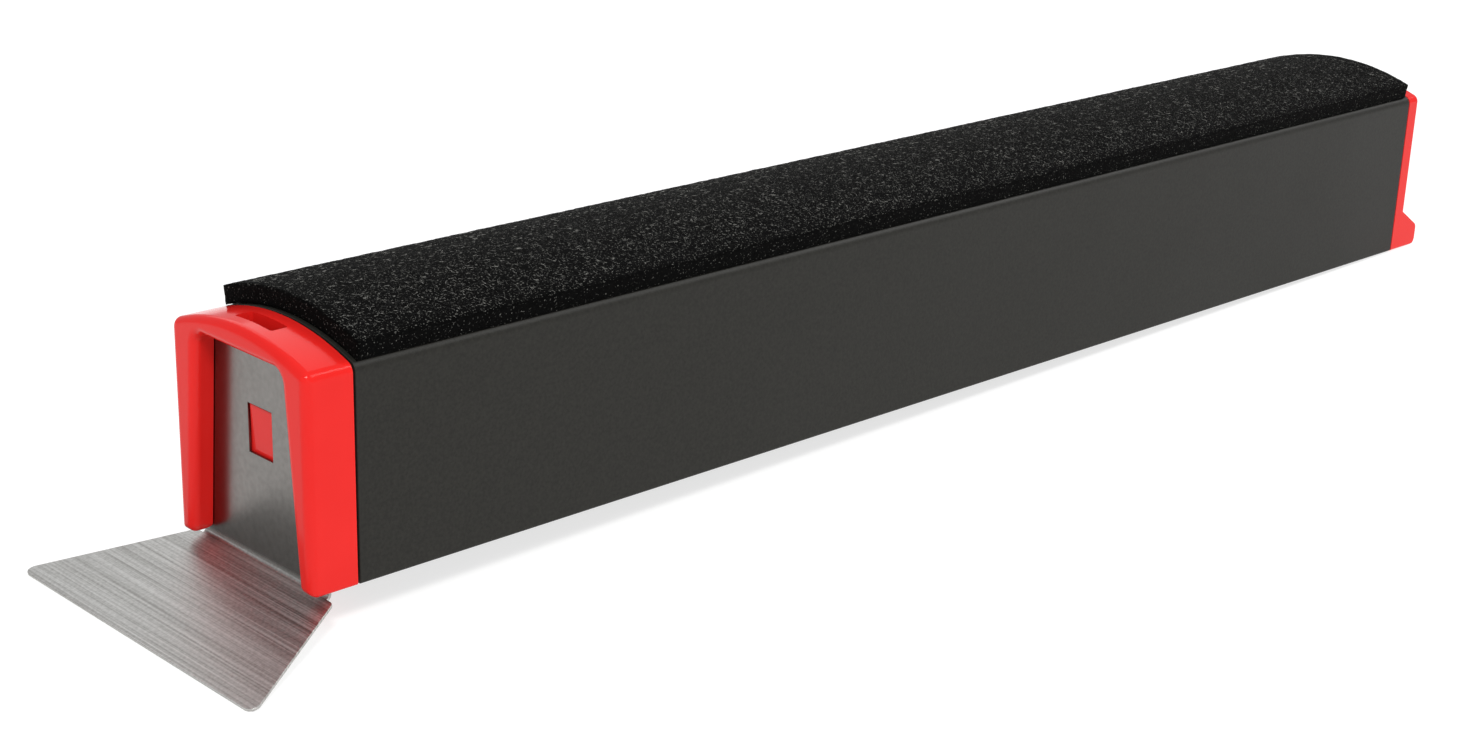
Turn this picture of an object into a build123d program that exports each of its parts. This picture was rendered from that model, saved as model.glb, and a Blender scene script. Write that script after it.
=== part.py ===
from build123d import *
import os
from math import cos, radians, sin, sqrt, tan

# Magnetic glass cleaner, wet-side half, in millimetres.
# +X runs along the bar away from the scraper, +Y across it, +Z up to the felt.
# The origin is the middle of the housing's flat underside.

os.makedirs("parts", exist_ok=True)

# Housing tube
body_length = 231.2
body_width = 28.8
side_height = 28.3
crown_rise = 2.7
wall = 2.0
shoulder_round = 1.4
underside_round = 0.4
inner_round = 0.5
rim_break = 0.15

# Front cap, the scraper's holder
front_gap = 0.37
front_cap_depth = 6.9
leg_depth = 3.0
cap_edge_round = 1.2
leg_foot_round = 1.2
leg_top_width = 5.2
leg_foot_width = 2.78
channel_lintel = 3.3
channel_corner_round = 1.8
leg_lead_in = 0.7
eject_slot_width = 7.8
eject_slot_depth = 2.5
eject_slot_lead = 0.4
eject_slot_round = 0.4

# Scraper
blade_thickness = 0.4
blade_side_margin = 1.65
blade_clearance = 0.1
blade_top_margin = 0.4
blade_top_round = 2.5
blade_bend_radius = 0.5
blade_bend_drop = 0.42
blade_shoulder_gap = 0.15
blade_shoulder_margin = 0.8
window_width = 5.2
window_height = 6.5
window_bottom = 13.4
flare_length = 19.5
flare_droop = 12.1
flare_overhang = 0.6
flare_angle = 30.0
flare_corner_round = 1.0
flare_corner_cut = 1.2

# Catch that locks the scraper
catch_thickness = 1.1
catch_width = 6.2
catch_gap = 0.15
catch_pivot_z = 4.3
catch_pivot_radius = 1.0
pivot_clearance = 0.05
catch_top_depth = 6.1
catch_swing = 5.5
catch_bump_clearance = 0.2
catch_bump_reach = 0.16
pocket_headroom = 1.9

# Rear cap
rear_gap = 0.12
rear_plate = 3.0
rear_edge_round = 0.6
lip_top_z = 6.7
lip_nose_z = 3.7
lip_reach = 7.7
lip_round = 1.3

# Spigots and seals
spigot_length = 6.0
spigot_clearance = 0.1
spigot_skirt = 1.6
bulkhead = 1.6
seal_recess = 0.7

# Felt
felt_thickness = 2.5
adhesive_thickness = 0.12
felt_side_inset = 0.5
felt_spread = 0.45
felt_front_inset = 0.56
felt_rear_inset = 1.2
adhesive_inset = 0.6

# Magnets, their tray, the keeper strip and the float foam
magnet_count = 6
magnet_length = 28.0
magnet_width = 15.0
magnet_height = 4.5
magnet_clearance = 0.1
magnet_corner_round = 1.0
tray_roof = 1.6
tray_clearance = 0.1
tray_end_gap = 0.5
tray_skirt = 1.0
keeper_thickness = 0.8
keeper_width = 18.0
foam_count = 3
foam_clearance = 0.3

# Worked out from the sizes above
half_width = body_width / 2
top_z = side_height + crown_rise
channel_top_half = half_width - leg_top_width
channel_foot_half = half_width - leg_foot_width
blade_half_width = half_width - blade_side_margin
blade_shoulder_half = half_width - blade_shoulder_margin
flare_top_half = half_width + flare_overhang
felt_base_half = half_width - felt_side_inset
felt_top_half = felt_base_half + felt_spread
catch_top_z = top_z - catch_top_depth
front_x = -body_length / 2
rear_x = body_length / 2
crown_radius = (half_width**2 + crown_rise**2) / (2 * crown_rise)
crown_centre_z = top_z - crown_radius
cap_rear_x = front_x - front_gap
cap_front_x = cap_rear_x - front_cap_depth
groove_front_x = cap_front_x + leg_depth
blade_front_x = groove_front_x + blade_clearance
blade_rear_x = blade_front_x + blade_thickness
bend_centre_x = blade_front_x - blade_bend_radius
groove_rear_x = blade_rear_x + blade_clearance
channel_top_z = top_z - channel_lintel
blade_top_z = channel_top_z + blade_top_margin
spigot_inset = wall + spigot_clearance
felt_length = body_length - felt_front_inset - felt_rear_inset


def crown_z(radius, y):
    """Height of an arc around the crown's own centre, at a distance y from the middle."""
    return crown_centre_z + sqrt(radius**2 - y**2)


def crowned_section(x, inset, top_round, low_round):
    """The housing's outline at x, drawn inset from its outer faces."""
    half = half_width - inset
    radius = crown_radius - inset
    corner_z = crown_z(radius, half)
    with BuildSketch(Plane.YZ.offset(x)) as section:
        with BuildLine():
            Polyline((-half, corner_z), (-half, inset), (half, inset), (half, corner_z))
            ThreePointArc((half, corner_z), (0, crown_centre_z + radius), (-half, corner_z))
        make_face()
        corners = section.vertices().sort_by(Axis.Y)
        fillet(corners[:2], low_round)
        fillet(section.vertices().sort_by(Axis.Y)[-2:], top_round)
    return section.sketch


def crown_band(x, inner_radius, thickness, base_half, top_half):
    """A band that follows the crown, such as the felt."""
    outer_radius = inner_radius + thickness
    low_z = crown_z(inner_radius, base_half)
    high_z = crown_z(outer_radius, top_half)
    with BuildSketch(Plane.YZ.offset(x)) as band:
        with BuildLine():
            ThreePointArc(
                (-base_half, low_z), (0, crown_centre_z + inner_radius), (base_half, low_z)
            )
            Line((base_half, low_z), (top_half, high_z))
            ThreePointArc(
                (top_half, high_z), (0, crown_centre_z + outer_radius), (-top_half, high_z)
            )
            Line((-top_half, high_z), (-base_half, low_z))
        make_face()
    return band.sketch


# ---- Housing ----
with BuildPart() as housing:
    extrude(crowned_section(front_x, 0, shoulder_round, underside_round), amount=body_length)
    fillet(housing.faces().sort_by(Axis.X)[0].edges(), rim_break)
    fillet(housing.faces().sort_by(Axis.X)[-1].edges(), rim_break)
    bore = crowned_section(front_x, wall, inner_round, inner_round)
    extrude(bore, amount=body_length, mode=Mode.SUBTRACT)
housing.part.label = "housing"
export_step(housing.part, "parts/housing.step")

# ---- Felt and the sheet that holds it ----
with BuildPart() as felt_adhesive:
    tape_half = felt_base_half - adhesive_inset
    tape = crown_band(
        front_x + felt_front_inset + adhesive_inset,
        crown_radius,
        adhesive_thickness,
        tape_half,
        tape_half,
    )
    extrude(tape, amount=felt_length - 2 * adhesive_inset)
felt_adhesive.part.label = "felt_adhesive"
export_step(felt_adhesive.part, "parts/felt_adhesive.step")

with BuildPart() as felt_pad:
    felt = crown_band(
        front_x + felt_front_inset,
        crown_radius + adhesive_thickness,
        felt_thickness,
        felt_base_half,
        felt_top_half,
    )
    extrude(felt, amount=felt_length)
felt_pad.part.label = "felt_pad"
export_step(felt_pad.part, "parts/felt_pad.step")

# ---- Front cap ----
catch_front_x = groove_rear_x
catch_rear_x = catch_front_x + catch_thickness
pocket_half_width = catch_width / 2 + catch_gap
pocket_rear_x = (
    catch_rear_x + (catch_top_z - catch_pivot_z) * sin(radians(catch_swing)) + catch_gap
)
pivot_x = catch_front_x + catch_pivot_radius + catch_gap
bulkhead_x = pocket_rear_x + bulkhead

with BuildPart() as front_cap:
    block = crowned_section(cap_front_x, 0, shoulder_round, underside_round)
    extrude(block, amount=front_cap_depth)
    # Mouth between the legs
    with BuildSketch(Plane.YZ.offset(cap_front_x)) as mouth:
        with BuildLine():
            Polyline(
                (-channel_foot_half, 0),
                (-channel_top_half, channel_top_z),
                (channel_top_half, channel_top_z),
                (channel_foot_half, 0),
                close=True,
            )
        make_face()
        fillet(mouth.vertices().sort_by(Axis.Y)[-2:], channel_corner_round)
    extrude(amount=leg_depth, mode=Mode.SUBTRACT)
    leg_corners = front_cap.edges().filter_by(Axis.X).filter_by_position(Axis.Z, -0.01, 0.01)
    leg_corners = leg_corners.filter_by_position(Axis.Y, -channel_foot_half, channel_foot_half)
    fillet(leg_corners, leg_foot_round)
    fillet(front_cap.faces().sort_by(Axis.X)[0].edges(), cap_edge_round)
    # Groove that the blade slides in
    groove_half = blade_half_width + blade_clearance
    with BuildSketch(Plane.YZ.offset(groove_front_x)) as groove:
        with BuildLine():
            Polyline(
                (-groove_half, 0),
                (-groove_half, blade_top_z + blade_clearance),
                (groove_half, blade_top_z + blade_clearance),
                (groove_half, 0),
                close=True,
            )
        make_face()
        fillet(groove.vertices().sort_by(Axis.Y)[-2:], blade_top_round)
    extrude(amount=groove_rear_x - groove_front_x, mode=Mode.SUBTRACT)
    # Spigot that plugs into the housing, and its hollow
    plug = crowned_section(cap_rear_x, spigot_inset, inner_round, inner_round)
    extrude(plug, amount=front_gap + spigot_length)
    hollow = crowned_section(bulkhead_x, spigot_inset + spigot_skirt, inner_round, inner_round)
    extrude(hollow, amount=spigot_length, mode=Mode.SUBTRACT)
    # Pocket behind the blade, where the catch swings back
    with BuildSketch(Plane.XZ) as pocket:
        with BuildLine():
            Polyline(
                (groove_rear_x, catch_pivot_z),
                (groove_rear_x, catch_top_z + pocket_headroom),
                (pocket_rear_x, catch_top_z + pocket_headroom),
                (pivot_x + catch_pivot_radius + pivot_clearance, catch_pivot_z),
                close=True,
            )
        make_face()
        with Locations((pivot_x, catch_pivot_z)):
            Circle(catch_pivot_radius + pivot_clearance)
    extrude(amount=pocket_half_width, both=True, mode=Mode.SUBTRACT)
    # Lead-in at the mouth of the groove
    with BuildSketch(Plane.XZ):
        with BuildLine():
            Polyline(
                (groove_front_x - leg_lead_in, 0),
                (groove_front_x, leg_lead_in),
                (groove_front_x, 0),
                close=True,
            )
        make_face()
    extrude(amount=groove_half, both=True, mode=Mode.SUBTRACT)
    # Slot in the crown, over the blade's top edge and the catch's tip
    slot_x = groove_front_x - eject_slot_lead + eject_slot_depth / 2
    with BuildSketch(Plane.XY.offset(catch_top_z)):
        with Locations((slot_x, 0)):
            RectangleRounded(eject_slot_depth, eject_slot_width, eject_slot_round)
    extrude(amount=top_z, mode=Mode.SUBTRACT)
front_cap.part.label = "front_cap"
export_step(front_cap.part, "parts/front_cap.step")

# ---- Scraper blade ----
bend_outer_radius = blade_bend_radius + blade_thickness
bend_sine = sin(radians(flare_droop))
bend_cosine = cos(radians(flare_droop))
flare_normal = Vector(-bend_sine, 0, bend_cosine)
bend_centre = Vector(bend_centre_x, 0, -blade_bend_drop)
flare_plane = Plane(
    origin=bend_centre - flare_normal * blade_bend_radius, x_dir=(0, 1, 0), z_dir=flare_normal
)
edge_half = flare_top_half + flare_length * tan(radians(flare_angle))

with BuildPart() as blade:
    # Upright plate, with shoulders that stop against the cap's legs
    with BuildSketch(Plane.YZ.offset(blade_front_x)) as plate:
        with BuildLine():
            Polyline(
                (-blade_shoulder_half, -blade_bend_drop),
                (-blade_shoulder_half, -blade_shoulder_gap),
                (-blade_half_width, -blade_shoulder_gap),
                (-blade_half_width, blade_top_z),
                (blade_half_width, blade_top_z),
                (blade_half_width, -blade_shoulder_gap),
                (blade_shoulder_half, -blade_shoulder_gap),
                (blade_shoulder_half, -blade_bend_drop),
                close=True,
            )
        make_face()
        fillet(plate.vertices().sort_by(Axis.Y)[-2:], blade_top_round)
        with Locations((0, window_bottom + window_height / 2)):
            Rectangle(window_width, window_height, mode=Mode.SUBTRACT)
    extrude(amount=blade_thickness)
    # Bend
    with BuildSketch(Plane.XZ) as bend:
        with BuildLine():
            inner_end = bend_centre - flare_normal * blade_bend_radius
            outer_end = bend_centre - flare_normal * bend_outer_radius
            CenterArc(
                (bend_centre.X, bend_centre.Z), blade_bend_radius, 0, flare_droop - 90
            )
            Line((inner_end.X, inner_end.Z), (outer_end.X, outer_end.Z))
            CenterArc(
                (bend_centre.X, bend_centre.Z), bend_outer_radius, 0, flare_droop - 90
            )
            Line((blade_front_x, bend_centre.Z), (blade_rear_x, bend_centre.Z))
        make_face()
    extrude(amount=blade_shoulder_half, both=True)
    # Flared foot that ends in the scraping edge
    with BuildSketch(flare_plane) as flare:
        with BuildLine():
            Polyline(
                (-flare_top_half, 0),
                (flare_top_half, 0),
                (edge_half, flare_length),
                (-edge_half, flare_length),
                close=True,
            )
        make_face()
        fillet(flare.vertices().sort_by(Axis.Y)[:2], flare_corner_round)
        chamfer(flare.vertices().sort_by(Axis.Y)[-2:], flare_corner_cut)
    extrude(amount=-blade_thickness)
blade.part.label = "blade"
export_step(blade.part, "parts/blade.step")

# ---- Catch ----
bump_low_z = window_bottom + catch_bump_clearance
bump_top_z = window_bottom + window_height - catch_bump_clearance
bump_front_x = blade_rear_x - catch_bump_reach

with BuildPart() as blade_catch:
    with BuildSketch(Plane.XZ) as arm:
        with BuildLine():
            Polyline(
                (catch_front_x, catch_pivot_z),
                (catch_front_x, catch_top_z),
                (catch_rear_x, catch_top_z),
                (catch_rear_x, catch_pivot_z),
                close=True,
            )
        make_face()
        fillet(arm.vertices().sort_by(Axis.Y)[-2:], catch_thickness / 4)
        with Locations((pivot_x, catch_pivot_z)):
            Circle(catch_pivot_radius)
    extrude(amount=catch_width / 2, both=True)
    with BuildSketch(Plane.XZ) as bump:
        with BuildLine():
            Polyline(
                (catch_front_x, bump_low_z),
                (bump_front_x, bump_top_z),
                (catch_front_x, bump_top_z),
                close=True,
            )
        make_face()
    extrude(amount=window_width / 2 - catch_bump_clearance, both=True)
blade_catch.part.label = "blade_catch"
export_step(blade_catch.part, "parts/blade_catch.step")

# ---- Rear cap ----
rear_face_x = rear_x + rear_gap
lip_floor_x = rear_face_x + lip_reach

with BuildPart() as rear_cap:
    with BuildSketch(Plane.XZ) as side:
        with BuildLine():
            Polyline(
                (rear_face_x, 0),
                (lip_floor_x, 0),
                (lip_floor_x, lip_nose_z),
                (rear_face_x + rear_plate, lip_top_z),
                (rear_face_x + rear_plate, top_z),
                (rear_face_x, top_z),
                close=True,
            )
        make_face()
        fillet(side.vertices().group_by(Axis.X)[-1], lip_round)
    extrude(amount=half_width, both=True)
    outline = crowned_section(rear_face_x, 0, shoulder_round, underside_round)
    extrude(outline, amount=lip_reach, mode=Mode.INTERSECT)
    # Rounded rim of the plate and rounded ends of the lip
    plate_face = rear_cap.faces().filter_by(Axis.X).sort_by(Axis.Z)[-1]
    fillet(plate_face.edges().sort_by(Axis.Z)[1:], rear_edge_round)
    plug = crowned_section(rear_x - spigot_length, spigot_inset, inner_round, inner_round)
    extrude(plug, amount=spigot_length + rear_gap)
    hollow = crowned_section(
        rear_x - spigot_length, spigot_inset + spigot_skirt, inner_round, inner_round
    )
    extrude(hollow, amount=spigot_length - bulkhead, mode=Mode.SUBTRACT)
    # Rebate for the seal, so that the joint closes almost flush
    rebate = crowned_section(rear_face_x, seal_recess, inner_round, inner_round)
    kept = crowned_section(rear_face_x, spigot_inset, inner_round, inner_round)
    extrude(rebate - kept, amount=front_gap - rear_gap, mode=Mode.SUBTRACT)
rear_cap.part.label = "rear_cap"
export_step(rear_cap.part, "parts/rear_cap.step")

# ---- Seals between the caps and the housing ----
for name, seal_x in (("front_seal", cap_rear_x), ("rear_seal", rear_x)):
    with BuildPart() as seal:
        ring = crowned_section(seal_x, seal_recess, inner_round, inner_round)
        extrude(ring, amount=front_gap)
        hole = crowned_section(seal_x, wall, inner_round, inner_round)
        extrude(hole, amount=front_gap, mode=Mode.SUBTRACT)
    seal.part.label = name
    export_step(seal.part, f"parts/{name}.step")

# ---- Magnet tray, hung under the crown ----
tray_length = body_length - 2 * spigot_length - 2 * tray_end_gap
magnet_corner_z = crown_z(crown_radius - wall - tray_clearance, magnet_width / 2)
magnet_top_z = magnet_corner_z - tray_roof
magnet_low_z = magnet_top_z - magnet_height
keeper_low_z = magnet_low_z - keeper_thickness
keeper_length = tray_length - 2 * tray_skirt
magnet_pitch = keeper_length / magnet_count
magnet_places = [(i - (magnet_count - 1) / 2) * magnet_pitch for i in range(magnet_count)]

with BuildPart() as magnet_tray:
    shell = crowned_section(-tray_length / 2, wall + tray_clearance, inner_round, inner_round)
    extrude(shell, amount=tray_length)
    with BuildSketch(Plane.XY.offset(wall)):
        Rectangle(tray_length, body_width)
    extrude(amount=keeper_low_z - wall, mode=Mode.SUBTRACT)
    with BuildSketch(Plane.XY.offset(keeper_low_z)):
        Rectangle(keeper_length + 2 * magnet_clearance, keeper_width + 2 * magnet_clearance)
    extrude(amount=keeper_thickness, mode=Mode.SUBTRACT)
    with BuildSketch(Plane.XY.offset(magnet_low_z)):
        with Locations(*[(x, 0) for x in magnet_places]):
            Rectangle(magnet_length + 2 * magnet_clearance, magnet_width + 2 * magnet_clearance)
    extrude(amount=magnet_height, mode=Mode.SUBTRACT)
magnet_tray.part.label = "magnet_tray"
export_step(magnet_tray.part, "parts/magnet_tray.step")

for i, x in enumerate(magnet_places):
    with BuildPart() as magnet:
        with BuildSketch(Plane.XY.offset(magnet_low_z)):
            with Locations((x, 0)):
                Rectangle(magnet_length, magnet_width)
        extrude(amount=magnet_height)
        fillet(magnet.edges().filter_by(Axis.Z), magnet_corner_round)
    magnet.part.label = f"magnet_{i + 1}"
    export_step(magnet.part, f"parts/magnet_{i + 1}.step")

with BuildPart() as keeper_plate:
    with BuildSketch(Plane.XY.offset(keeper_low_z)):
        Rectangle(keeper_length, keeper_width)
    extrude(amount=keeper_thickness)
keeper_plate.part.label = "keeper_plate"
export_step(keeper_plate.part, "parts/keeper_plate.step")

# ---- Float foam under the magnets ----
foam_half = half_width - wall - foam_clearance
foam_low_z = wall + foam_clearance
foam_length = tray_length / foam_count - foam_clearance

for i in range(foam_count):
    foam_x = (i - (foam_count - 1) / 2) * tray_length / foam_count
    with BuildPart() as foam_block:
        with BuildSketch(Plane.XY.offset(foam_low_z)):
            with Locations((foam_x, 0)):
                Rectangle(foam_length, 2 * foam_half)
        extrude(amount=keeper_low_z - foam_clearance - foam_low_z)
    foam_block.part.label = f"foam_block_{i + 1}"
    export_step(foam_block.part, f"parts/foam_block_{i + 1}.step")
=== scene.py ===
import bpy
import bmesh
import random
from math import pi, radians, sqrt
from mathutils import Matrix, Vector, noise


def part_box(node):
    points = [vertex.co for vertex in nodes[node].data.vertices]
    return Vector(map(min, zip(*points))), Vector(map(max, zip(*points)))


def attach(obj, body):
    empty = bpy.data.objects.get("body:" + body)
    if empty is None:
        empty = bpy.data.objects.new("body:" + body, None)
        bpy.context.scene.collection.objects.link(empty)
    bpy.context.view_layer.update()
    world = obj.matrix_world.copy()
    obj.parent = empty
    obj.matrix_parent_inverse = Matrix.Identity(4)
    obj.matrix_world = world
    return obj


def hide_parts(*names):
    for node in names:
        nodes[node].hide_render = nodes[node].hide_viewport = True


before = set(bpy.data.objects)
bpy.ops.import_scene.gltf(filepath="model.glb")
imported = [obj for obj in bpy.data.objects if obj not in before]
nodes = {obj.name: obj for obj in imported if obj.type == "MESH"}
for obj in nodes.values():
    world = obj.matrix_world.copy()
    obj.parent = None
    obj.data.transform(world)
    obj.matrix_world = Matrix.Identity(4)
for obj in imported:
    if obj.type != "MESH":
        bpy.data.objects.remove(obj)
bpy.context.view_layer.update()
mm = 0.001
random.seed(11)
print("frame loaded:", len(nodes), "CAD nodes")


def addObject(name, data):
    piece = bpy.data.objects.new(name, data)
    bpy.context.scene.collection.objects.link(piece)
    return piece


# three quarters from the scraper end, a little above the felt
cameraSetup = {
    "place": (-0.27481, -0.23872, 0.12396),
    "turn": (69.237, -1.628, -43.583),  # degrees
    "sensor": 36,  # mm, as is the lens
    "lens": 60.3,
    "shift": (0.0121, 0.0433),
    "nearest": 0.01,
}

cameraData = bpy.data.cameras.new("productCamera")
cameraData.sensor_width = cameraSetup["sensor"]
cameraData.lens = cameraSetup["lens"]
cameraData.shift_x, cameraData.shift_y = cameraSetup["shift"]
cameraData.clip_start = cameraSetup["nearest"]
camera = addObject("productCamera", cameraData)
camera.location = cameraSetup["place"]
camera.rotation_euler = [radians(a) for a in cameraSetup["turn"]]
bpy.context.scene.camera = camera


def linearColour(hexText):
    # sRGB hex to the linear colour that a socket wants
    channels = [int(hexText[i:i + 2], 16) / 255 for i in (0, 2, 4)]
    return [c / 12.92 if c <= 0.04045 else ((c + 0.055) / 1.055) ** 2.4 for c in channels] + [1]


def addNode(tree, kind, settings=None, links=None):
    # settings are inputs or properties by name; a link from a node takes its first output
    node = tree.nodes.new(kind)
    for name, value in (settings or {}).items():
        if name == "stops":
            ramp = node.color_ramp.elements
            while len(ramp) < len(value):
                ramp.new(0.5)
            for stop, (position, hexText) in zip(ramp, value):
                stop.position = position
                stop.color = linearColour(hexText)
        elif isinstance(name, int) or name in node.inputs:
            node.inputs[name].default_value = value
        else:
            setattr(node, name, value)
    for name, source in (links or {}).items():
        socket = source.outputs[0] if isinstance(source, bpy.types.Node) else source
        tree.links.new(socket, node.inputs[name])
    return node


def startMaterial(name):
    material = bpy.data.materials.new(name)
    material.use_nodes = True
    material.node_tree.nodes.clear()
    place = addNode(material.node_tree, "ShaderNodeTexCoord").outputs["Object"]
    return material, material.node_tree, place


def addNoise(tree, place, size, detail, roughness=0.5):
    # lumps are about half of 1 / Scale across, so the Scale is 0.5 over their real size
    settings = {"Scale": 0.5 / size, "Detail": detail, "Roughness": roughness}
    return addNode(tree, "ShaderNodeTexNoise", settings, {"Vector": place})


def addSpread(tree, source, limits):
    # most of a noise lies between 0.3 and 0.7; this spreads it over the limits
    settings = {"From Min": 0.3, "From Max": 0.7, "To Min": limits[0], "To Max": limits[1]}
    return addNode(tree, "ShaderNodeMapRange", settings, {"Value": source})


def addSurface(tree, settings, links):
    shader = addNode(tree, "ShaderNodeBsdfPrincipled", settings, links)
    addNode(tree, "ShaderNodeOutputMaterial", links={"Surface": shader})


# Injection-moulded ABS from a polished tool: deep even red, glossy, with a slow ripple in its reflections
redPlastic = {
    "colours": ("D9201C", "DF2420"),
    "cloud": 9 * mm,
    "haze": 1.4 * mm,
    "ripple": 2.6 * mm,
    "rippleDepth": 0.006 * mm,
    "roughness": (0.11, 0.16),
    "specular": 0.14,
}


def makeGlossRed():
    material, tree, place = startMaterial("glossRedAbs")
    low, high = redPlastic["colours"]
    cloud = addNoise(tree, place, redPlastic["cloud"], 3)
    colour = addNode(tree, "ShaderNodeValToRGB", {"stops": [(0.35, low), (0.65, high)]}, {"Fac": cloud})
    haze = addNoise(tree, place, redPlastic["haze"], 2)
    roughness = addSpread(tree, haze, redPlastic["roughness"])
    ripple = addNoise(tree, place, redPlastic["ripple"], 1)
    bump = addNode(tree, "ShaderNodeBump", {"Distance": redPlastic["rippleDepth"]}, {"Height": ripple})
    addSurface(
        tree,
        {"IOR": 1.53, "Specular IOR Level": redPlastic["specular"]},
        {"Base Color": colour, "Roughness": roughness, "Normal": bump},
    )
    return material


# Injection-moulded ABS from a fine spark-eroded tool: charcoal, satin, with a dense tiny grain
charcoalPlastic = {
    "colours": ("1F1E1B", "282723"),
    "grain": 0.22 * mm,  # a real eroded grain is near 0.05 mm; drawn this coarse so that it shows
    "grainDepth": 0.012 * mm,
    "cloud": 14 * mm,
    "roughness": (0.4, 0.46),
    "specular": 0.15,
}


def makeSatinCharcoal():
    material, tree, place = startMaterial("sparkErodedCharcoalAbs")
    low, high = charcoalPlastic["colours"]
    grain = addNoise(tree, place, charcoalPlastic["grain"], 3, 0.65)
    colour = addNode(tree, "ShaderNodeValToRGB", {"stops": [(0.32, low), (0.68, high)]}, {"Fac": grain})
    cloud = addNoise(tree, place, charcoalPlastic["cloud"], 3)
    roughness = addSpread(tree, cloud, charcoalPlastic["roughness"])
    bump = addNode(tree, "ShaderNodeBump", {"Distance": charcoalPlastic["grainDepth"]}, {"Height": grain})
    addSurface(
        tree,
        {"IOR": 1.53, "Specular IOR Level": charcoalPlastic["specular"]},
        {"Base Color": colour, "Roughness": roughness, "Normal": bump},
    )
    return material


# Stainless sheet: the foot is belt-brushed along the cutting edge, which smears reflections across the
# grain, and the upright plate keeps its rolled finish, coloured darker than the foot as painted shade
brushedSteel = {
    "brushed": ("94928E", "D2D1CE"),
    # the upright plate's colours are darker than the steel's own: painted shade for the dim reflections
    # it shows
    "shadedRolledPlate": ("767370", "807D7A"),
    "line": 0.15 * mm,  # real brush lines are near 0.04 mm; drawn this coarse so that they show
    "lineLength": 160,  # times its width
    "lineDepth": 0.004 * mm,
    "speck": 0.2 * mm,
    "speckShare": 0.25,
    "rolledCloud": 0.4 * mm,
    "bend": (-0.8 * mm, 0.2 * mm),  # the foot's finish turns into the plate's between these heights
    "brushedRoughness": (0.4, 0.52),
    "plainRoughness": 0.24,
    "anisotropy": 0.4,
}


def makeBrushedSteel():
    material, tree, place = startMaterial("brushedStainlessSheet")
    stretch = (1, 1 / brushedSteel["lineLength"], 1)
    along = addNode(tree, "ShaderNodeMapping", {"Scale": stretch}, {"Vector": place})
    lines = addNoise(tree, along, brushedSteel["line"], 2, 0.6)
    speck = addNoise(tree, place, brushedSteel["speck"], 1)
    share = {"data_type": "FLOAT", 0: brushedSteel["speckShare"]}
    tone = addNode(tree, "ShaderNodeMix", share, {2: lines, 3: speck})
    dark, pale = brushedSteel["brushed"]
    brushed = addNode(tree, "ShaderNodeValToRGB", {"stops": [(0.34, dark), (0.66, pale)]}, {"Fac": tone})
    rolled = addNoise(tree, place, brushedSteel["rolledCloud"], 3)
    # the plate's darker colours are painted shade; its cloud is the rolled finish
    dark, pale = brushedSteel["shadedRolledPlate"]
    shadedRolledPlate = addNode(tree, "ShaderNodeValToRGB", {"stops": [(0.3, dark), (0.7, pale)]}, {"Fac": rolled})
    height = addNode(tree, "ShaderNodeSeparateXYZ", links={"Vector": place}).outputs["Z"]
    low, high = brushedSteel["bend"]
    upright = addNode(tree, "ShaderNodeMapRange", {"From Min": low, "From Max": high}, {"Value": height})
    colour = addNode(tree, "ShaderNodeMix", {"data_type": "RGBA"}, {0: upright, 6: brushed, 7: shadedRolledPlate})
    lineRoughness = addSpread(tree, lines, brushedSteel["brushedRoughness"])
    roughness = addNode(
        tree,
        "ShaderNodeMix",
        {"data_type": "FLOAT", 3: brushedSteel["plainRoughness"]},
        {0: upright, 2: lineRoughness},
    )
    bump = addNode(tree, "ShaderNodeBump", {"Distance": brushedSteel["lineDepth"]}, {"Height": lines})
    # highlights stretch across the brush lines, which run along Y
    tangent = addNode(tree, "ShaderNodeCombineXYZ", {"X": 1.0})
    addSurface(
        tree,
        {"Metallic": 1.0, "Anisotropic": brushedSteel["anisotropy"]},
        {"Base Color": colour.outputs[2], "Roughness": roughness, "Normal": bump, "Tangent": tangent},
    )
    return material


# Needled wool felt, dyed black: matte, with pale undyed fibre ends caught in the surface
feltLook = {
    "colours": ("010101", "040404"),
    "tuft": 0.5 * mm,
    "fleck": 0.13 * mm,
    "fleckFade": 0.12,  # of the noise's range
    "fleckStrength": 0.55,
    "fleckColour": "96958F",
    "napDepth": 0.12 * mm,
    "sheen": "8C8B86",
}


def makeFelt(name, fleckStart):
    # flecks show where their noise is above fleckStart
    material, tree, place = startMaterial(name)
    low, high = feltLook["colours"]
    tuft = addNoise(tree, place, feltLook["tuft"], 4, 0.7)
    ground = addNode(tree, "ShaderNodeValToRGB", {"stops": [(0.35, low), (0.65, high)]}, {"Fac": tuft})
    fleck = addNoise(tree, place, feltLook["fleck"], 2, 0.6)
    mask = addNode(
        tree,
        "ShaderNodeMapRange",
        {
            "From Min": fleckStart,
            "From Max": fleckStart + feltLook["fleckFade"],
            "To Min": 0.0,
            "To Max": feltLook["fleckStrength"],
        },
        {"Value": fleck},
    )
    colour = addNode(
        tree,
        "ShaderNodeMix",
        {"data_type": "RGBA", 7: linearColour(feltLook["fleckColour"])},
        {0: mask, 6: ground},
    )
    bump = addNode(tree, "ShaderNodeBump", {"Distance": feltLook["napDepth"]}, {"Height": tuft})
    addSurface(
        tree,
        {
            "Roughness": 0.95,
            "IOR": 1.45,
            "Specular IOR Level": 0.05,
            "Sheen Weight": 0.02,
            "Sheen Roughness": 0.6,
            "Sheen Tint": linearColour(feltLook["sheen"]),
        },
        {"Base Color": colour.outputs[2], "Normal": bump},
    )
    return material


# Loose wool fibres, most of them dyed and a few left pale: dull, each a shade of its own
fibreLook = {
    "tone": 0.35 * mm,
    "stops": [(0.38, "050505"), (0.53, "1C1C1A"), (0.66, "A09F99")],
    "roughness": (0.65, 0.85),
}


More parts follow.
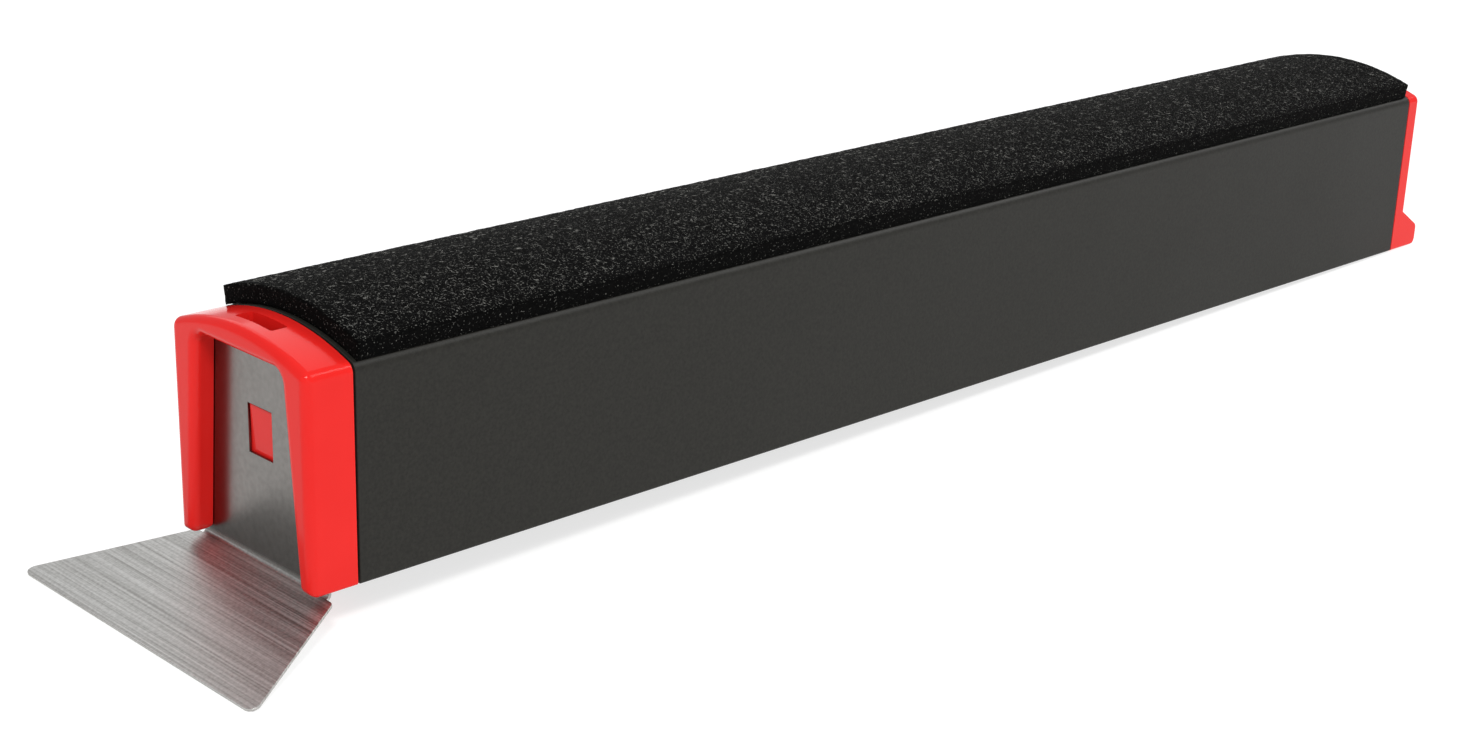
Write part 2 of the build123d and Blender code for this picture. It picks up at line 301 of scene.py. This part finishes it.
def makeFibre():
    material, tree, place = startMaterial("paleWoolFibre")
    tone = addNoise(tree, place, fibreLook["tone"], 2)
    colour = addNode(tree, "ShaderNodeValToRGB", {"stops": fibreLook["stops"]}, {"Fac": tone})
    roughness = addSpread(tree, tone, fibreLook["roughness"])
    addSurface(
        tree,
        {"IOR": 1.55, "Specular IOR Level": 0.3},
        {"Base Color": colour, "Roughness": roughness},
    )
    return material


# Moulded EPDM rubber: near black and dull, with a faint bloom
sealRubber = {"bloom": 1.2 * mm, "bloomDepth": 0.02 * mm, "colours": ("131313", "1C1C1B")}


def makeRubber():
    material, tree, place = startMaterial("mouldedEpdmRubber")
    low, high = sealRubber["colours"]
    bloom = addNoise(tree, place, sealRubber["bloom"], 3)
    colour = addNode(tree, "ShaderNodeValToRGB", {"stops": [(0.3, low), (0.7, high)]}, {"Fac": bloom})
    bump = addNode(tree, "ShaderNodeBump", {"Distance": sealRubber["bloomDepth"]}, {"Height": bloom})
    addSurface(
        tree,
        {"IOR": 1.52, "Roughness": 0.7},
        {"Base Color": colour, "Normal": bump},
    )
    return material


# Pressure-sensitive acrylic adhesive film: amber grey, slightly wet
adhesiveFilm = {"cloud": 2.5 * mm, "colours": ("4A4842", "5B5850"), "roughness": (0.28, 0.42)}


def makeAdhesive():
    material, tree, place = startMaterial("acrylicAdhesiveFilm")
    low, high = adhesiveFilm["colours"]
    cloud = addNoise(tree, place, adhesiveFilm["cloud"], 3)
    colour = addNode(tree, "ShaderNodeValToRGB", {"stops": [(0.3, low), (0.7, high)]}, {"Fac": cloud})
    roughness = addSpread(tree, cloud, adhesiveFilm["roughness"])
    addSurface(
        tree,
        {"IOR": 1.48},
        {"Base Color": colour, "Roughness": roughness},
    )
    return material


# Recycled ABS, moulded with visible flow lines along its length: dark grey and uneven
trayPlastic = {
    "flow": 5 * mm,
    "flowLength": 4,  # times its width
    "colours": ("34353A", "404147"),
    "roughness": (0.42, 0.58),
}


def makeTrayPlastic():
    material, tree, place = startMaterial("mouldedTrayAbs")
    low, high = trayPlastic["colours"]
    stretch = (1 / trayPlastic["flowLength"], 1, 1)
    along = addNode(tree, "ShaderNodeMapping", {"Scale": stretch}, {"Vector": place})
    flow = addNoise(tree, along, trayPlastic["flow"], 4)
    colour = addNode(tree, "ShaderNodeValToRGB", {"stops": [(0.3, low), (0.7, high)]}, {"Fac": flow})
    roughness = addSpread(tree, flow, trayPlastic["roughness"])
    addSurface(
        tree,
        {"IOR": 1.53},
        {"Base Color": colour, "Roughness": roughness},
    )
    return material


# Cold-rolled steel strip, zinc plated: pale blue grey with rolling lines along its length
zincStrip = {
    "line": 0.3 * mm,
    "lineLength": 60,  # times its width
    "colours": ("9DA3A8", "B7BCC0"),
    "roughness": (0.3, 0.45),
}


def makeZincSteel():
    material, tree, place = startMaterial("zincPlatedStrip")
    low, high = zincStrip["colours"]
    stretch = (1 / zincStrip["lineLength"], 1, 1)
    along = addNode(tree, "ShaderNodeMapping", {"Scale": stretch}, {"Vector": place})
    rolled = addNoise(tree, along, zincStrip["line"], 3, 0.6)
    colour = addNode(tree, "ShaderNodeValToRGB", {"stops": [(0.3, low), (0.7, high)]}, {"Fac": rolled})
    roughness = addSpread(tree, rolled, zincStrip["roughness"])
    addSurface(
        tree,
        {"Metallic": 1.0},
        {"Base Color": colour, "Roughness": roughness},
    )
    return material


# Sintered neodymium block, nickel plated: warm mirror with a slight cloud
nickelPlate = {"cloud": 1.5 * mm, "colours": ("BDB6AB", "CFC9BE"), "roughness": (0.12, 0.22)}


def makeNickel():
    material, tree, place = startMaterial("nickelPlatedMagnet")
    low, high = nickelPlate["colours"]
    cloud = addNoise(tree, place, nickelPlate["cloud"], 4)
    colour = addNode(tree, "ShaderNodeValToRGB", {"stops": [(0.3, low), (0.7, high)]}, {"Fac": cloud})
    roughness = addSpread(tree, cloud, nickelPlate["roughness"])
    addSurface(
        tree,
        {"Metallic": 1.0},
        {"Base Color": colour, "Roughness": roughness},
    )
    return material


# Closed-cell polyethylene foam, cut with a blade: off-white with small opened cells
foamLook = {"cell": 0.9 * mm, "cellDepth": 0.15 * mm, "colours": ("CFCDC6", "EFEDE6")}


def makeFoam():
    material, tree, place = startMaterial("closedCellFoam")
    low, high = foamLook["colours"]
    cells = addNode(tree, "ShaderNodeTexVoronoi", {"Scale": 1 / foamLook["cell"]}, {"Vector": place})
    colour = addNode(tree, "ShaderNodeValToRGB", {"stops": [(0.0, low), (0.6, high)]}, {"Fac": cells})
    bump = addNode(tree, "ShaderNodeBump", {"Distance": foamLook["cellDepth"]}, {"Height": cells})
    addSurface(
        tree,
        {"IOR": 1.5, "Roughness": 0.85},
        {"Base Color": colour, "Normal": bump},
    )
    return material


glossRed = makeGlossRed()
satinCharcoal = makeSatinCharcoal()
steel = makeBrushedSteel()
rubber = makeRubber()
nickel = makeNickel()
foam = makeFoam()
finishes = {
    "housing": satinCharcoal,
    "front_cap": glossRed,
    "rear_cap": glossRed,
    "blade_catch": glossRed,
    "blade": steel,
    "front_seal": rubber,
    "rear_seal": rubber,
    "felt_adhesive": makeAdhesive(),
    "magnet_tray": makeTrayPlastic(),
    "keeper_plate": makeZincSteel(),
}
for name, node in nodes.items():
    finish = finishes.get(name)
    if name.startswith("magnet_") and finish is None:
        finish = nickel
    if name.startswith("foam_block"):
        finish = foam
    if finish is not None:
        node.data.materials.clear()
        node.data.materials.append(finish)
print("materials on the CAD nodes")


# the scraper blade, in place of the CAD's; all angles are in degrees
bladeFinish = {
    "weld": 0.002 * mm,
    "flatAngle": 1.0,  # facets that meet flatter than this are one face
    "tipReach": 1.4 * mm,  # the cut corners lie this close to the cutting edge
    "throughLength": 0.5 * mm,  # an edge that goes through the sheet is shorter than this
    "throughDrift": 0.01 * mm,  # and moves less than this along Y
    "cornerAngle": 20,  # the outline turns by more than this at a corner
    "cornerRound": 0.6 * mm,
    "cornerSegments": 6,
    "rimAngle": 40,  # sharper edges are broken
    "edgeBreak": 0.05 * mm,
    "edgeSegments": 2,
    "creaseAngle": 25,  # sharper edges are drawn hard
    "flatArea": 4 * mm * mm,  # larger faces are shaded flat
}


def bevelEdges(mesh, edges, width, segments):
    bmesh.ops.bevel(
        mesh,
        geom=edges,
        offset=width,
        offset_type="OFFSET",
        segments=segments,
        profile=0.5,
        affect="EDGES",
        material=-1,
    )


def makeBlade():
    # the CAD blade with its cut corners rounded and the sheared edges of the sheet broken
    mesh = bmesh.new()
    mesh.from_mesh(nodes["blade"].data)
    bmesh.ops.remove_doubles(mesh, verts=mesh.verts[:], dist=bladeFinish["weld"])
    flat = radians(bladeFinish["flatAngle"])
    bmesh.ops.dissolve_limit(mesh, angle_limit=flat, verts=mesh.verts[:], edges=mesh.edges[:])
    tipX = min(v.co.x for v in mesh.verts) + bladeFinish["tipReach"]
    corners = []
    for edge in mesh.edges:
        a, b = edge.verts
        short = edge.calc_length() < bladeFinish["throughLength"]
        through = short and abs(a.co.y - b.co.y) < bladeFinish["throughDrift"]
        atTip = max(a.co.x, b.co.x) < tipX
        if through and atTip and edge.calc_face_angle() > radians(bladeFinish["cornerAngle"]):
            corners.append(edge)
    bevelEdges(mesh, corners, bladeFinish["cornerRound"], bladeFinish["cornerSegments"])
    sharp = radians(bladeFinish["rimAngle"])
    rims = [e for e in mesh.edges if len(e.link_faces) == 2 and e.calc_face_angle() > sharp]
    bevelEdges(mesh, rims, bladeFinish["edgeBreak"], bladeFinish["edgeSegments"])
    print("blade corners rounded:", len(corners), "rims:", len(rims))
    data = bpy.data.meshes.new("scraperBlade")
    mesh.to_mesh(data)
    mesh.free()
    data.set_sharp_from_angle(angle=radians(bladeFinish["creaseAngle"]))
    for face in data.polygons:
        face.use_smooth = face.area < bladeFinish["flatArea"]
    data.materials.append(steel)
    return addObject("scraperBlade", data)


blade = makeBlade()
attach(blade, "scraper")
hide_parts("blade")

# the felt pad with its nap, in place of the CAD's
feltPad = {
    "cell": 0.55 * mm,
    "thickness": 2.5 * mm,
    "sideSpread": 0.45 * mm,
    "crownRise": 2.7 * mm,
    "wallCuts": 4,
    "glued": 0.1 * mm,  # the lowest stretch, which lies smooth on the adhesive
    "cutEdge": 0.2 * mm,  # the sides start this far below the crown
    "lumps": (0.05 * mm, 2.2 * mm),  # height, width
    "nap": (0.07 * mm, 0.5 * mm),
    "flecksOnTop": 0.6,
    # the sides get fewer flecks than the top, so they read darker: painted shade
    "flecksOnSides": 0.64,
    "fibres": 9000,
    "fibreLength": (0.5 * mm, 1.3 * mm),
    "fibreRadius": 0.018 * mm,
    "fibreTurn": 6.283,  # radians
    "fibreBend": 0.3,  # of its length, times a share of 0.6 to 1.4
    "fibreLift": (-0.6, 2.6),  # radii above the nap
}

feltLow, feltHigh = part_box("felt_pad")
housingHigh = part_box("housing")[1]
halfWidth = housingHigh.y
crownRadius = (halfWidth ** 2 + feltPad["crownRise"] ** 2) / (2 * feltPad["crownRise"])
crownCentreZ = housingHigh.z - crownRadius
feltRadius = feltHigh.z - crownCentreZ


def crownHeight(y, radius):
    return crownCentreZ + sqrt(radius ** 2 - y ** 2)


def napHeight(place):
    # how far the felt's surface stands from its smooth shape
    lumpHigh, lumpWide = feltPad["lumps"]
    napHigh, napWide = feltPad["nap"]
    lump = noise.noise(place / lumpWide) * lumpHigh
    return lump + noise.noise(place / napWide + Vector((7, 3, 1))) * napHigh


def makeFeltPad():
    lengthX = feltHigh.x - feltLow.x
    topHalf = feltHigh.y
    baseHalf = topHalf - feltPad["sideSpread"]
    columns = round(lengthX / feltPad["cell"])
    rows = round(2 * topHalf / feltPad["cell"])
    mesh = bmesh.new()
    bmesh.ops.create_grid(mesh, x_segments=columns, y_segments=rows, size=0.5)
    top = list(mesh.verts)
    copy = bmesh.ops.duplicate(mesh, geom=mesh.verts[:] + mesh.edges[:] + mesh.faces[:])
    base = [v for v in copy["geom"] if isinstance(v, bmesh.types.BMVert)]
    underside = [f for f in copy["geom"] if isinstance(f, bmesh.types.BMFace)]
    bmesh.ops.reverse_faces(mesh, faces=underside)
    middleX = (feltLow.x + feltHigh.x) / 2
    baseRadius = feltRadius - feltPad["thickness"]
    for verts, half, radius in ((top, topHalf, feltRadius), (base, baseHalf, baseRadius)):
        for v in verts:
            y = v.co.y * 2 * half
            v.co = Vector((middleX + v.co.x * lengthX, y, crownHeight(y, radius)))
    rims = [e for e in mesh.edges if e.is_boundary]
    walls = bmesh.ops.bridge_loops(mesh, edges=rims)
    tall = feltPad["thickness"] / 2
    uprights = [e for e in walls["edges"] if abs(e.verts[0].co.z - e.verts[1].co.z) > tall]
    bmesh.ops.subdivide_edges(mesh, edges=uprights, cuts=feltPad["wallCuts"], use_grid_fill=True)
    bmesh.ops.recalc_face_normals(mesh, faces=mesh.faces[:])
    mesh.normal_update()
    for v in mesh.verts:
        if v.co.z > crownHeight(v.co.y, baseRadius) + feltPad["glued"]:
            v.co += v.normal * napHeight(v.co)
    for face in mesh.faces:
        centre = face.calc_center_median()
        onTop = centre.z > crownHeight(centre.y, feltRadius) - feltPad["cutEdge"]
        face.smooth = True
        face.material_index = 0 if onTop else 1
    data = bpy.data.meshes.new("feltCushion")
    mesh.to_mesh(data)
    mesh.free()
    data.materials.append(makeFelt("needledBlackFelt", feltPad["flecksOnTop"]))
    # the sides: the same felt with fewer flecks, darker as painted shade
    data.materials.append(makeFelt("shadedFeltSides", feltPad["flecksOnSides"]))
    return addObject("feltCushion", data)


def makeFibres():
    # short loose fibres lying on the nap, each a thin bent tube
    curve = bpy.data.curves.new("feltFibres", "CURVE")
    curve.dimensions = "3D"
    curve.bevel_depth = feltPad["fibreRadius"]
    curve.bevel_resolution = 0
    curve.use_fill_caps = True
    shortest, longest = feltPad["fibreLength"]
    for i in range(feltPad["fibres"]):
        x = random.uniform(feltLow.x + longest, feltHigh.x - longest)
        y = random.uniform(-feltHigh.y + longest, feltHigh.y - longest)
        turn = random.uniform(0, feltPad["fibreTurn"])
        length = random.uniform(shortest, longest)
        strand = curve.splines.new("POLY")
        strand.points.add(2)
        for k, point in enumerate(strand.points):
            along = (k / 2 - 0.5) * length
            bend = random.uniform(0.6, 1.4) * feltPad["fibreBend"] * length if k == 1 else 0
            step = Vector((along, bend))
            step.rotate(Matrix.Rotation(turn, 2))
            px, py = x + step.x, y + step.y
            lift = feltPad["fibreRadius"] * random.uniform(*feltPad["fibreLift"])
            flat = Vector((px, py, crownHeight(py, feltRadius)))
            point.co = (px, py, flat.z + napHeight(flat) + lift, 1)
    strands = addObject("fibreCurve", curve)
    tubes = strands.evaluated_get(bpy.context.evaluated_depsgraph_get())
    data = bpy.data.meshes.new_from_object(tubes)
    bpy.data.objects.remove(strands)
    data.materials.clear()
    data.materials.append(makeFibre())
    return addObject("feltFibres", data)


felt = makeFeltPad()
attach(felt, "cleaner")
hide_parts("felt_pad")
fibres = makeFibres()
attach(fibres, "cleaner")
print("felt:", len(felt.data.polygons), "faces, fibres:", len(fibres.data.polygons), "faces")


# floor and light
studio = {
    "floorSize": 20.0,
    "floorGap": 0.02 * mm,
    "floorShade": ("9B9B9A", "9F9F9E", 120 * mm),  # dark, pale, width of the patches
    "floorGlow": 0.72,  # the floor is lit from below like a light table
    "worldColour": "F5F7FA",
    "worldStrength": 0.55,
    # name: (direction from the object, distance, (width, height), radiance)
    "softboxes": {
        "cornerLight": ((-0.464, -0.446, 0.762), 1.3, (0.3, 0.3), 30.0),
        "sideBox": ((-0.5, -1.0, 0.35), 1.5, (1.2, 0.6), 0.8),
        "endBox": ((-1.0, -0.15, 0.35), 1.4, (0.7, 0.5), 0.35),
        "backBox": ((0.45, 0.67, 0.59), 1.5, (1.3, 0.9), 0.9),
        "rimBox": ((0.652, -0.354, 0.67), 1.5, (0.9, 0.6), 5.0),
        "topBox": ((-0.2, -0.1, 1.0), 1.4, (0.9, 0.6), 0.2),
    },
}
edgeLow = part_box("blade")[0]
lipLow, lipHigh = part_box("rear_cap")


# Matte white studio board: even, with faint broad patches
def makeFloorPaint():
    material, tree, place = startMaterial("matteFloorBoard")
    low, high, patch = studio["floorShade"]
    shade = addNoise(tree, place, patch, 2)
    colour = addNode(tree, "ShaderNodeValToRGB", {"stops": [(0.3, low), (0.7, high)]}, {"Fac": shade})
    addSurface(
        tree,
        {
            "Roughness": 0.9,
            "Emission Color": linearColour("FFFFFF"),
            "Emission Strength": studio["floorGlow"],
        },
        {"Base Color": colour},
    )
    return material


def makeFloor():
    # the part stands on the cutting edge and on the rear lip, so the floor leans to meet both
    slope = (lipLow.z - edgeLow.z) / (lipHigh.x - edgeLow.x)
    mesh = bmesh.new()
    bmesh.ops.create_grid(mesh, x_segments=1, y_segments=1, size=studio["floorSize"])
    for v in mesh.verts:
        v.co.z = edgeLow.z + (v.co.x - edgeLow.x) * slope - studio["floorGap"]
    data = bpy.data.meshes.new("studioFloor")
    mesh.to_mesh(data)
    mesh.free()
    data.materials.append(makeFloorPaint())
    floor = addObject("studioFloor", data)


def addSoftbox(name, direction, distance, size, radiance):
    data = bpy.data.lights.new(name, "AREA")
    data.shape = "RECTANGLE"
    data.size, data.size_y = size
    data.energy = radiance * pi * size[0] * size[1]
    lamp = addObject(name, data)
    lamp.location = Vector(direction).normalized() * distance
    lamp.rotation_euler = (-lamp.location).to_track_quat("-Z", "Y").to_euler()


makeFloor()
for name, (direction, distance, size, radiance) in studio["softboxes"].items():
    addSoftbox(name, direction, distance, size, radiance)
world = bpy.data.worlds.new("studioWorld")
world.use_nodes = True
background = world.node_tree.nodes["Background"].inputs
background["Color"].default_value = linearColour(studio["worldColour"])
background["Strength"].default_value = studio["worldStrength"]
bpy.context.scene.world = world
bpy.context.scene.view_settings.view_transform = "Standard"
print("studio ready")
